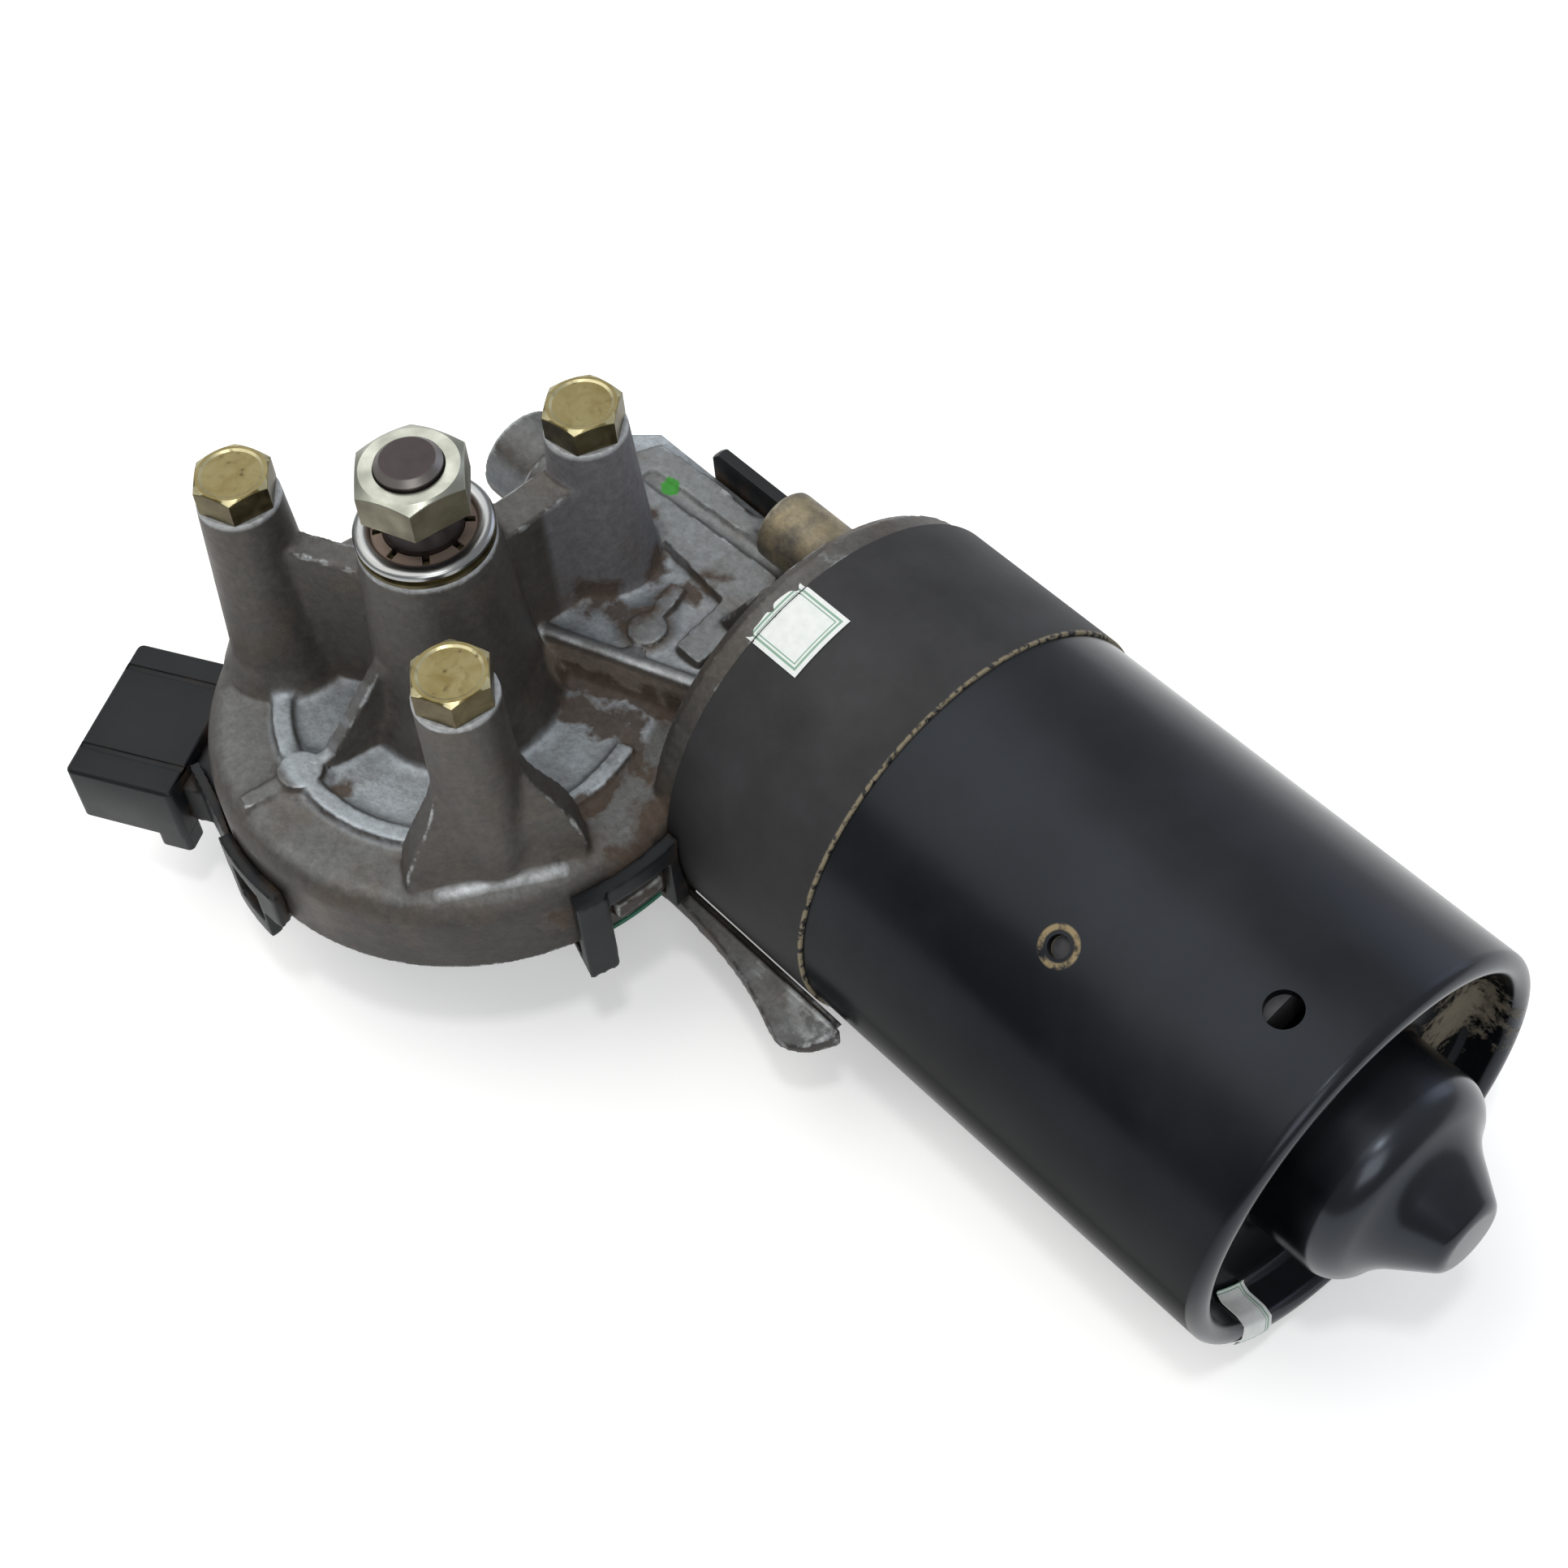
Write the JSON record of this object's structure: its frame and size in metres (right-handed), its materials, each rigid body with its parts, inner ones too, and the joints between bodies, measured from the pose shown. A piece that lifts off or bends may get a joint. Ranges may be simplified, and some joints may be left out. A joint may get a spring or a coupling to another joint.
{
  "type": "wiper motor",
  "caption": "Windscreen wiper gearmotor: cast worm gear housing with raised mounting bosses, an output spindle and nut, a clip-on cover with connector, and a round motor can.",
  "frame": {"origin": "on the output shaft's axis, in the plane of the tops of the mounting bosses", "axes": "+Z out along the output shaft, towards the crank arm's nut; +X along the armature, towards the closed end of the motor can"},
  "size_m": [0.2194, 0.1272, 0.0952],
  "materials": {
    "cast_aluminium": "die cast, dull grey, stained in the recesses",
    "black_plastic": "moulded, satin black",
    "green_seal": "soft green gasket",
    "contact_brass": "stamped, bright",
    "yellow_zinc": "yellow zinc plated steel",
    "bright_zinc": "bright zinc plated steel",
    "dark_steel": "dark, oiled and browned steel",
    "spring_steel": "bright spring steel",
    "sintered_bronze": "oil filled sintered bronze",
    "white_nylon": "moulded nylon",
    "black_rubber": "matt rubber",
    "sleeve_paint": "matt black paint on steel",
    "can_paint": "gloss black paint on steel",
    "ferrite": "sintered ferrite, dark grey",
    "lamination_steel": "stacked silicon steel",
    "copper_wire": "lacquered copper wire",
    "copper_bar": "turned copper segments",
    "carbon": "copper graphite brush",
    "brown_board": "paper laminate board"
  },
  "bodies": {
    "root": {"gear_housing": "cast_aluminium", "gear_cover": "black_plastic", "cover_seal": "green_seal", "connector_housing": "black_plastic", "connector_pins": "contact_brass", "contact_plate": "black_plastic", "contact_springs": "contact_brass", "mounting_bolts": "yellow_zinc", "spindle_bushes": "sintered_bronze", "spindle_seal": "black_rubber", "spindle_washers": "yellow_zinc", "motor_can": "can_paint", "can_sleeve": "sleeve_paint", "can_screws": "bright_zinc", "pole_magnets": "ferrite", "magnet_clips": "spring_steel", "brush_plate": "brown_board", "brush_holders": "contact_brass", "carbon_brushes": "carbon", "brush_springs": "spring_steel", "suppression_chokes": "copper_wire", "tunnel_bush": "sintered_bronze", "middle_bearing": "spring_steel", "thrust_screw": "bright_zinc", "rear_bush": "sintered_bronze", "rear_bush_clip": "spring_steel", "thrust_plug": "white_nylon"},
    "output": {"output_shaft": "dark_steel", "worm_wheel": "white_nylon", "wheel_hub": "bright_zinc", "park_disc": "contact_brass", "circlip": "spring_steel", "star_lock_washer": "spring_steel", "shaft_nut": "bright_zinc"},
    "armature": {"armature_shaft": "dark_steel", "armature_core": "lamination_steel", "armature_windings": "copper_wire", "commutator": "copper_bar"}
  },
  "joints": [
    {"name": "output_spin", "type": "hinge", "parent": "root", "child": "output", "pos_m": [0, 0, 0], "axis": [0, 0, 1], "continuous": true},
    {"name": "armature_spin", "type": "hinge", "parent": "root", "child": "armature", "pos_m": [0, 0.04125, -0.044], "axis": [1, 0, 0], "continuous": true}
  ],
  "couplings": [
    {"joint": "output_spin", "follows": "armature_spin", "ratio": 0.017241}
  ]
}
